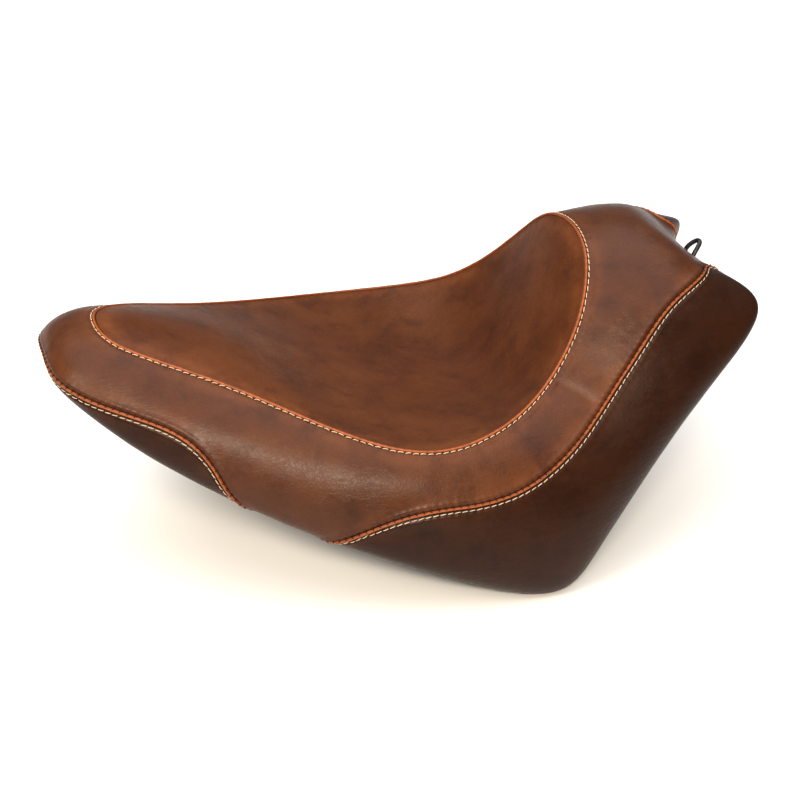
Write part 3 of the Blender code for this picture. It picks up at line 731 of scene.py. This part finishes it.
def build_pan(plastic, spots):
    """The moulded pan with its ribs, which stop short of the fittings."""
    rows = np.linspace(0, 1, 150)
    columns = stations(0, 10, [constant(5), constant(6)], 0.004)
    panel = Panel("seat_pan", rows, columns, constant(4.05), constant(9.95), True, under_span)
    points, normals, u = panel.surface()
    x, y = points[..., 0], points[..., 1]
    ribs = np.zeros(x.shape)
    for rib_y in (-0.030, 0.030):
        ribs = np.maximum(ribs, bar(y - rib_y, 0.0016) * bar(x + 0.045, 0.090, 0.006))
    for rib_x in (-0.130, -0.085, -0.040, 0.005, 0.050):
        ribs = np.maximum(ribs, bar(x - rib_x, 0.0016) * bar(y, 0.085, 0.006))
    for spot in spots:
        ribs *= 1 - bar(np.linalg.norm(points - np.array(spot), axis=-1), 0.028, 0.006)
    ribs *= np.clip((u - 5.35) / 0.2, 0, 1)
    rim = np.exp(-(((u - 5.22) / 0.05) ** 2))
    grain = value_noise(points, 40, 1.0) * 0.0002
    grid = points - normals * (COVER + GAP + 0.0002 - 0.0022 * ribs - 0.0010 * rim - grain)[..., None]
    mesh, _ = grid_mesh("seat_pan_moulding", grid)
    pan = add("seat_pan_moulding", mesh, plastic)
    thicken(pan, PAN)
    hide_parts("seat_pan")
    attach(pan, "root")


def build_core(foam):
    """The foam inside, set in from the leather all round."""
    rows = np.linspace(0, 1, 57)
    columns = stations(0, 10, [constant(1), constant(4)], 0.012)
    panel = Panel("foam", rows, columns, constant(0), constant(14), True, under_span)
    points, normals, _ = panel.surface()
    mesh, _ = grid_mesh("foam_core", points - normals * 0.0072)
    core = add("foam_core", mesh, foam)
    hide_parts("foam_bucket")
    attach(core, "root")


def build_pad(felt):
    rows = np.linspace(0, 1, 60)
    count = 50
    columns = np.linspace(6.62, 7.68, count)
    panel = Panel("fender_pad", rows, columns, constant(6.02), constant(7.98), True, under_span)
    points, normals, _ = panel.surface()
    edge_rows = np.minimum(rows, 1 - rows)[:, None] * 60
    edge_columns = np.minimum(np.arange(count), count - 1 - np.arange(count))[None] * 1.6
    edge = np.minimum(edge_rows, edge_columns)
    fall = 0.0009 * np.exp(-edge / 1.5)
    fuzz = 0.00012 * value_noise(points, 900, 3.0)
    mesh, _ = grid_mesh("fender_pad_felt", points + normals * (0.0007 - fall + fuzz)[..., None])
    pad = add("fender_pad_felt", mesh, felt)
    thicken(pad, 0.0026)
    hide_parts("fender_pad")
    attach(pad, "root")


def softened(node, name, material, bevel=0.0, smooth=0):
    """The CAD piece with its edges broken or its facets smoothed."""
    shape = bmesh.new()
    shape.from_mesh(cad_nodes[node].data)
    bmesh.ops.remove_doubles(shape, verts=shape.verts, dist=0.00001)
    bmesh.ops.dissolve_limit(shape, angle_limit=0.02, verts=shape.verts, edges=shape.edges)
    mesh = bpy.data.meshes.new(name)
    shape.to_mesh(mesh)
    shape.free()
    mesh.shade_smooth()
    obj = add(name, mesh, material)
    if bevel:
        edge = obj.modifiers.new("edges", "BEVEL")
        edge.width = bevel
        edge.segments = 3
        edge.limit_method = "ANGLE"
        edge.harden_normals = True
    if smooth:
        fine = obj.modifiers.new("smooth", "SUBSURF")
        fine.levels = smooth
        fine.render_levels = smooth
    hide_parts(node)
    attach(obj, "root")


def along_axis(node, up):
    """Middle, lowest and highest place of a CAD piece along a direction."""
    points = np.array([v.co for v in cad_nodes[node].data.vertices])
    up = np.array(up)
    heights = points @ up
    flat = points - np.outer(heights, up)
    return (flat.min(axis=0) + flat.max(axis=0)) / 2, heights.min(), heights.max()


def turned(node, name, up, profile, material, steps=48):
    """A turned piece in place of a CAD one; the profile's heights are from the CAD piece's lowest place."""
    middle, low, _ = along_axis(node, up)
    z = Vector(up).normalized()
    x = z.orthogonal().normalized()
    y = z.cross(x)
    points = []
    angle = np.linspace(0, 2 * np.pi, steps, endpoint=False)
    ring = np.outer(np.cos(angle), np.array(x)) + np.outer(np.sin(angle), np.array(y))
    faces = []
    for k, (radius, height) in enumerate(profile):
        for j in range(steps):
            points.append(tuple(middle + np.array(z) * (low + height) + ring[j] * radius))
            if k:
                n = (j + 1) % steps
                faces.append(((k - 1) * steps + j, (k - 1) * steps + n, k * steps + n, k * steps + j))
    last = (len(profile) - 1) * steps
    faces.append(tuple(reversed(range(steps))))
    faces.append(tuple(range(last, last + steps)))
    mesh = bpy.data.meshes.new(name)
    mesh.from_pydata(points, [], faces)
    mesh.shade_smooth()
    mesh.set_sharp_from_angle(angle=0.9)
    obj = add(name, mesh, material)
    outward(obj)
    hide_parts(node)
    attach(obj, "root")


def rivet_profile():
    dome = [(0.0050 * math.cos(a), 0.0016 - 0.0016 * math.sin(a)) for a in np.linspace(1.5, 0.12, 9)]
    return dome + [(0.0050, 0.0019), (0.0024, 0.0020), (0.0024, 0.0060)]


def buffer_profile(height):
    return [
        (0.0020, 0.0012), (0.0050, 0.0012), (0.0056, 0.0003), (0.0098, 0.0), (0.0112, 0.0004),
        (0.0120, 0.0014), (0.0123, 0.0030), (0.0115, 0.0038), (0.0115, 0.0050), (0.0124, 0.0058),
        (0.0125, 0.0082), (0.0120, 0.0089), (0.0040, 0.0090), (0.0040, height),
    ]


# ---- materials -------------------------------------------


class Finish:
    """A procedural material being put together."""

    def __init__(self, name, roughness, metallic=0.0, specular=0.5, coat=0.0, coat_roughness=0.3, sheen=0.0):
        self.material = bpy.data.materials.new(name)
        self.material.use_nodes = True
        self.tree = self.material.node_tree
        self.shader = self.tree.nodes["Principled BSDF"]
        values = {
            "Roughness": roughness,
            "Metallic": metallic,
            "Specular IOR Level": specular,
            "Coat Weight": coat,
            "Coat Roughness": coat_roughness,
            "Sheen Weight": sheen,
        }
        for key, value in values.items():
            self.shader.inputs[key].default_value = value
        self.place = self.tree.nodes.new("ShaderNodeTexCoord").outputs["Object"]

    def put(self, socket, source):
        if isinstance(source, (int, float)):
            socket.default_value = source
        elif isinstance(source, tuple):
            socket.default_value = (*source, 1) if len(source) == 3 and socket.type == "RGBA" else source
        else:
            self.tree.links.new(source, socket)

    def node(self, kind, inputs, **settings):
        """New node with its settings and then its inputs filled in."""
        node = self.tree.nodes.new("ShaderNode" + kind)
        for key, value in settings.items():
            setattr(node, key, value)
        for key, source in inputs.items():
            self.put(node.inputs[key], source)
        return node

    def stretched(self, scale):
        return self.node("Mapping", {"Scale": scale, "Vector": self.place}).outputs["Vector"]

    def noise(self, scale, detail=4.0, roughness=0.5, distortion=0.0, place=None):
        inputs = {"Scale": scale, "Detail": detail, "Roughness": roughness, "Distortion": distortion}
        return self.node("TexNoise", {"Vector": place or self.place, **inputs}).outputs["Fac"]

    def cells(self, scale, feature="F1", place=None):
        inputs = {"Vector": place or self.place, "Scale": scale}
        return self.node("TexVoronoi", inputs, feature=feature).outputs["Distance"]

    def warped(self, amount, scale):
        """Object coordinates pushed about by a noise."""
        push = self.node("TexNoise", {"Vector": self.place, "Scale": scale}).outputs["Color"]
        inputs = {0: push, 1: (amount, amount, amount), 2: self.place}
        return self.node("VectorMath", inputs, operation="MULTIPLY_ADD").outputs["Vector"]

    def attribute(self, name):
        node = self.tree.nodes.new("ShaderNodeAttribute")
        node.attribute_name = name
        return node.outputs["Fac"]

    def math(self, operation, a, b=0.5, clamp=False):
        return self.node("Math", {0: a, 1: b}, operation=operation, use_clamp=clamp).outputs["Value"]

    def span(self, value, low, high, to_low=0.0, to_high=1.0):
        """The value, moved from the range low to high into the range to_low to to_high."""
        inputs = {"Value": value, "From Min": low, "From Max": high, "To Min": to_low, "To Max": to_high}
        return self.node("MapRange", inputs).outputs["Result"]

    def ramp(self, value, stops):
        node = self.tree.nodes.new("ShaderNodeValToRGB")
        self.put(node.inputs["Fac"], value)
        elements = node.color_ramp.elements
        while len(elements) < len(stops):
            elements.new(0.5)
        for element, (place, colour) in zip(elements, stops):
            element.position = place
            element.color = (*colour, 1)
        return node.outputs["Color"]

    def mix(self, factor, a, b):
        return self.node("Mix", {"Factor": factor, 6: a, 7: b}, data_type="RGBA").outputs[2]

    def bump(self, height, strength, distance, normal=None):
        inputs = {"Strength": strength, "Distance": distance, "Height": height}
        if normal is not None:
            inputs["Normal"] = normal
        return self.node("Bump", inputs).outputs["Normal"]

    def done(self, colour=None, roughness=None, normal=None):
        for name, source in (("Base Color", colour), ("Roughness", roughness), ("Normal", normal)):
            if source is not None:
                self.put(self.shader.inputs[name], source)
        return self.material


def leather_finish(name, shade_tone, specular):
    """Pull-up leather. shade_tone multiplies its colour as painted shade, giving each panel a lit or shaded
    copy of the one leather.
    """

    def brown(red, green, blue):
        return (red * shade_tone, green * shade_tone, blue * shade_tone)

    f = Finish(name, 0.40, specular=specular, coat=0.03, coat_roughness=0.30)
    clouds = f.noise(13, 6, 0.62, 0.4)
    colour = f.ramp(
        clouds,
        [
            (0.30, brown(0.058, 0.0150, 0.0042)),
            (0.46, brown(0.088, 0.0235, 0.0056)),
            (0.60, brown(0.110, 0.0310, 0.0078)),
            (0.78, brown(0.140, 0.0430, 0.0120)),
        ],
    )
    blotch = f.noise(46, 5, 0.6)
    colour = f.mix(f.span(blotch, 0.52, 0.72, 0, 0.40), colour, brown(0.130, 0.039, 0.0115))
    colour = f.mix(f.span(blotch, 0.46, 0.30, 0, 0.5), colour, brown(0.044, 0.0115, 0.0040))
    wrinkles = f.noise(70, 7, 0.7, 1.4, f.stretched((0.5, 1.0, 2.4)))
    pale = f.math("MULTIPLY", f.span(wrinkles, 0.60, 0.70, 0, 0.40), f.span(f.noise(15, 3), 0.50, 0.66))
    colour = f.mix(pale, colour, brown(0.175, 0.066, 0.026))
    pores = f.noise(900, 2, 0.5)
    colour = f.mix(f.span(pores, 0.35, 0.62, 0.24, 0.0), colour, brown(0.026, 0.008, 0.0038))
    worn = f.math("MULTIPLY", f.attribute("rubbed"), f.span(blotch, 0.4, 0.6, 0.2, 0.9))
    colour = f.mix(worn, colour, brown(0.185, 0.054, 0.015))
    # Painted shade from the seams, the hem's pleats, the band's lower flank and the insert's bowl
    colour = f.mix(f.math("MULTIPLY", f.attribute("painted_shade"), 0.85, True), colour, (0.010, 0.0035, 0.002))
    roughness = f.span(clouds, 0.3, 0.75, 0.30, 0.40)
    roughness = f.math("ADD", roughness, f.span(f.noise(240, 3), 0.3, 0.7, -0.03, 0.05))
    grain = f.cells(620, "SMOOTH_F1", f.warped(0.004, 260))
    height = f.math("ADD", grain, f.math("MULTIPLY", f.noise(1500, 3, 0.6), 0.5))
    normal = f.bump(height, 0.22, 0.00035)
    creases = f.noise(52, 6, 0.68, 1.1, f.stretched((0.55, 1.0, 2.6)))
    folded = f.math("MULTIPLY", f.span(creases, 0.44, 0.56), f.span(f.noise(9, 2), 0.46, 0.62, 0.15, 1.0))
    normal = f.bump(folded, 0.25, 0.0006, normal)
    ridges = f.math("ABSOLUTE", f.math("SUBTRACT", f.noise(120, 4, 0.6, 1.8), 0.5))
    wrinkled = f.math("MULTIPLY", f.span(ridges, 0.0, 0.05), f.span(f.noise(11, 3), 0.42, 0.62, 0.05, 1.0))
    normal = f.bump(wrinkled, 0.22, 0.00035, normal)
    return f.done(colour, roughness, normal)


def piping_finish():
    f = Finish("piping_orange", 0.48, specular=0.22)
    crest_wear_and_highlight = f.attribute("crest_wear_and_highlight")
    grain = f.noise(420, 4, 0.6)
    base = f.mix(f.span(grain, 0.35, 0.65), (0.125, 0.026, 0.0050), (0.190, 0.044, 0.0090))
    # Paler along the top of the piping: partly rubbed wear, partly painted highlight
    colour = f.mix(f.math("MULTIPLY", crest_wear_and_highlight, 0.75), base, (0.380, 0.098, 0.0230))
    colour = f.mix(f.span(f.noise(60, 4), 0.56, 0.72, 0, 0.55), colour, (0.070, 0.016, 0.005))
    normal = f.bump(f.noise(1100, 3, 0.6), 0.25, 0.0003)
    return f.done(colour, f.span(grain, 0.3, 0.7, 0.38, 0.52), normal)


def thread_finish():
    f = Finish("thread_cream", 0.62, specular=0.35, sheen=0.2)
    twist = f.noise(2600, 2, 0.5, 0.0, f.stretched((1.0, 0.5, 1.6)))
    colour = f.mix(f.span(twist, 0.35, 0.65), (0.38, 0.26, 0.165), (0.62, 0.47, 0.32))
    colour = f.mix(f.span(f.noise(90, 3), 0.5, 0.7, 0, 0.5), colour, (0.34, 0.20, 0.11))
    return f.done(colour, None, f.bump(twist, 0.5, 0.0002))


def notch_shade_thread_finish():
    f = Finish("thread_painted_notch_shade", 0.7, specular=0.2)
    twist = f.noise(2600, 2, 0.5)
    # Near-black colour: painted shade of the needle notches
    colour = f.mix(twist, (0.010, 0.0035, 0.002), (0.030, 0.010, 0.005))
    return f.done(colour, None, f.bump(twist, 0.4, 0.0002))


def plastic_finish():
    f = Finish("pan_black", 0.55, specular=0.4)
    grain = f.cells(900, "F1", f.warped(0.003, 300))
    scuffs = f.noise(35, 7, 0.7, 1.5, f.stretched((1, 3, 1)))
    colour = f.mix(f.span(scuffs, 0.55, 0.7, 0, 0.6), (0.016, 0.016, 0.017), (0.045, 0.044, 0.043))
    return f.done(colour, f.span(scuffs, 0.3, 0.7, 0.46, 0.66), f.bump(grain, 0.35, 0.0004))


def zinc_finish():
    f = Finish("zinc_plate", 0.38, metallic=1.0)
    spangle = f.noise(160, 5, 0.6, 0.6)
    greys = [(0.3, (0.36, 0.37, 0.37)), (0.55, (0.56, 0.56, 0.54)), (0.75, (0.66, 0.63, 0.54))]
    colour = f.ramp(spangle, greys)
    brushed = f.noise(90, 6, 0.7, 0.0, f.stretched((1, 40, 1)))
    return f.done(colour, f.span(spangle, 0.3, 0.7, 0.30, 0.50), f.bump(brushed, 0.12, 0.0003))


def black_finish():
    f = Finish("rod_black", 0.48, metallic=0.1, specular=0.35, coat=0.08, coat_roughness=0.35)
    orange_peel = f.noise(700, 3, 0.5)
    worn = f.noise(120, 6, 0.7)
    colour = f.mix(f.span(worn, 0.62, 0.74, 0, 0.5), (0.006, 0.006, 0.0065), (0.035, 0.033, 0.031))
    return f.done(colour, f.span(worn, 0.3, 0.7, 0.34, 0.52), f.bump(orange_peel, 0.2, 0.0003))


def rubber_finish():
    f = Finish("buffer_rubber", 0.8, specular=0.3)
    bloom = f.noise(70, 5, 0.6)
    colour = f.mix(f.span(bloom, 0.45, 0.7), (0.014, 0.014, 0.014), (0.045, 0.044, 0.042))
    return f.done(colour, f.span(bloom, 0.3, 0.7, 0.72, 0.9), f.bump(f.noise(1400, 3), 0.2, 0.0003))


def felt_finish():
    f = Finish("felt_grey", 0.95, specular=0.1, sheen=0.6)
    fibres = f.noise(1400, 5, 0.75, 2.0)
    colour = f.mix(f.span(fibres, 0.3, 0.7), (0.022, 0.022, 0.024), (0.085, 0.085, 0.088))
    return f.done(colour, None, f.bump(fibres, 0.9, 0.0008))


def foam_finish():
    f = Finish("foam_cream", 0.95, specular=0.1)
    pores = f.cells(800)
    colour = f.mix(f.span(pores, 0.2, 0.6), (0.62, 0.54, 0.33), (0.50, 0.42, 0.24))
    return f.done(colour, None, f.bump(pores, 0.8, 0.0008))


def floor_finish():
    f = Finish("pale_floor", 0.9, specular=0.15)
    soft = f.noise(2.5, 3, 0.5)
    return f.done(f.mix(f.span(soft, 0.3, 0.7), (FLOOR_ALBEDO,) * 3, (FLOOR_ALBEDO * 0.985,) * 3))


# ---- stage -----------------------------------------------


def look_at(obj, target):
    direction = Vector(target) - obj.location
    obj.rotation_euler = direction.to_track_quat("-Z", "Y").to_euler()


def area_light(name, place, target, size, power, colour=(1, 1, 1)):
    data = bpy.data.lights.new(name, "AREA")
    data.shape = "RECTANGLE"
    data.size, data.size_y = size
    data.energy = power
    data.color = colour
    light = bpy.data.objects.new(name, data)
    bpy.context.scene.collection.objects.link(light)
    light.location = place
    look_at(light, target)


def build_stage(floor_height):
    mesh = bpy.data.meshes.new("floor")
    half = 6.0
    corners = [(x * half, y * half, floor_height) for x, y in ((-1, -1), (1, -1), (1, 1), (-1, 1))]
    mesh.from_pydata(corners, [], [(0, 1, 2, 3)])
    floor = add("floor", mesh, floor_finish())
    world = bpy.data.worlds.new("studio")
    world.use_nodes = True
    background = world.node_tree.nodes["Background"]
    background.inputs["Color"].default_value = (1.0, 1.0, 1.0, 1)
    background.inputs["Strength"].default_value = 0.25
    bpy.context.scene.world = world
    area_light("overhead", (0.0, 0.1, 2.7), (0.0, 0.1, 0.0), (4.2, 3.8), 138)
    area_light("front", (-0.5, -1.85, 1.42), (0.0, 0.0, 0.12), (0.9, 0.30), 60, (1.0, 0.86, 0.68))
    area_light("left_high", (-1.6, -0.75, 1.5), (0.0, 0.0, 0.14), (0.55, 0.45), 24, (1.0, 0.88, 0.72))
    camera_data = bpy.data.cameras.new("camera")
    camera_data.lens = 90
    camera_data.sensor_width = 36
    camera_data.clip_end = 50
    camera = bpy.data.objects.new("camera", camera_data)
    bpy.context.scene.collection.objects.link(camera)
    camera.location = (-0.4174, -1.3803, 0.9291)
    look_at(camera, (0.0046, 0.0, 0.0958))
    bpy.context.scene.camera = camera
    bpy.context.scene.view_settings.view_transform = "Standard"


# ---- the seat --------------------------------------------

# The panel on the lower side of each seam that ends at the hem
LOWER_SEAMS = {"front": "cover_front_skirt", "rear_left": "cover_rear_left", "rear_right": "cover_rear_right"}


def make_panels():
    loop = stations(-10, 10, [constant(1.0), band_edge], PANEL_STEP)
    insert_columns = stations(0, 10, [constant(1.0)], PANEL_STEP)
    front = stations(-FRONT_END, FRONT_END, [band_edge, constant(HEM)], PANEL_STEP)
    rear = stations(REAR_START, REAR_END, [band_edge, constant(HEM)], PANEL_STEP)
    return {
        "cover_insert": Panel(
            "cover_insert", graded(121, 0.6), insert_columns, constant(-1), constant(1), True, insert_span
        ),
        "cover_band": Panel("cover_band", graded(70), loop, constant(1.0), band_edge),
        "cover_front_skirt": Panel("cover_front_skirt", graded(40), front, band_edge, constant(HEM)),
        "cover_rear_left": Panel("cover_rear_left", graded(75), rear, band_edge, constant(HEM)),
        "cover_rear_right": Panel("cover_rear_right", graded(75), -rear[::-1], band_edge, constant(HEM)),
    }


def build_seat(frame):
    # Painted shade: one leather in three copies, its colour scaled by 0.80, 0.62 and 0.20, darkest on the
    # skirts that face away from the lights
    seating = leather_finish("leather_seating_painted_shade", 0.80, 0.11)
    band = leather_finish("leather_band_painted_shade", 0.62, 0.15)
    skirt = leather_finish("leather_skirt_painted_shade", 0.20, 0.10)
    hides = {"cover_insert": seating, "cover_band": band}
    piping = piping_finish()
    thread = thread_finish()
    zinc = zinc_finish()
    seams = make_seams()
    panels = make_panels()
    moves = simulate(panels.values())
    sewn = {
        "cover_insert": [("insert", False, False)],
        "cover_band": [
            ("insert", True, False),
            ("front", False, True),
            ("rear_left", False, True),
            ("rear_right", False, True),
        ],
        "cover_front_skirt": [("front", True, False)],
        "cover_rear_left": [("rear_left", True, False)],
        "cover_rear_right": [("rear_right", True, False)],
    }
    trees = {}
    for name, panel in panels.items():
        lines = [(seams[key], stitched, puckered) for key, stitched, puckered in sewn[name]]
        trees[name] = build_panel(panel, moves, lines, hides.get(name, skirt))
    for key in seams:
        build_welt(seams[key], "welt_" + key, piping)
    build_stitches(seams["insert"], trees["cover_band"], thread)
    notch_shade_thread = notch_shade_thread_finish()
    for key, skirt_name in LOWER_SEAMS.items():
        build_stitches(seams[key], trees[skirt_name], thread)
        build_notch_shade_pulls(seams[key], notch_shade_thread)
    build_staples([trees[name] for name in panels if name != "cover_insert"], zinc)
    mounts = {m["name"]: m for m in frame["record"]["mounts"]}
    buffers = [name for name in mounts if name.startswith("buffer")]
    spots = [mounts[name]["pos_m"] for name in buffers]
    for node in ("front_tongue", "rear_loop_plate"):
        low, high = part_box(node)
        spots.append(tuple((low + high) / 2))
    build_pan(plastic_finish(), spots)
    build_core(foam_finish())
    build_pad(felt_finish())
    rubber = rubber_finish()
    for name in buffers:
        up = (-Vector(mounts[name]["axis"])).normalized()
        _, low, high = along_axis(name, up)
        turned(name, name + "_rubber", up, buffer_profile(high - low), rubber)
    tongue_up = Vector(mounts["front_tongue"]["axis"]).normalized()
    softened("front_tongue", "front_tongue_steel", zinc, bevel=0.0007)
    softened("rear_loop_plate", "rear_loop_plate_steel", zinc)
    softened("rear_loop", "rear_loop_rod", black_finish(), smooth=2)
    plate_up = plate_normal()
    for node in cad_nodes:
        if node.startswith("tongue_rivet"):
            turned(node, node + "_head", tongue_up, rivet_profile(), zinc, 32)
        elif node.startswith("loop_rivet"):
            turned(node, node + "_head", plate_up, rivet_profile(), zinc, 32)


def plate_normal():
    """Upward normal of the loop's plate: the direction in which it is thinnest."""
    points = np.array([v.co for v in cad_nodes["rear_loop_plate"].data.vertices])
    _, _, axes = np.linalg.svd(points - points.mean(axis=0))
    normal = axes[2] if axes[2][2] > 0 else -axes[2]
    return Vector(normal).normalized()


def plain(box):
    return [list(map(float, corner)) for corner in box]


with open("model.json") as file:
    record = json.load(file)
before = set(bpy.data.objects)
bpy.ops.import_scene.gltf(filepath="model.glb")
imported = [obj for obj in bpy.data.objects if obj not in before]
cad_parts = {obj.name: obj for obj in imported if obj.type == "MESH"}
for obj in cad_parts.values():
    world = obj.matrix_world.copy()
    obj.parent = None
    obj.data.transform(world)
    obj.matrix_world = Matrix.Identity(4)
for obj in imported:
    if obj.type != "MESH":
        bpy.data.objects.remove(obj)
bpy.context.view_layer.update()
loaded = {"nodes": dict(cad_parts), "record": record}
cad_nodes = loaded["nodes"]
build_seat(loaded)
seat_box = plain(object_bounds())
build_stage(min(0.0, seat_box[0][2]) - 0.0002)
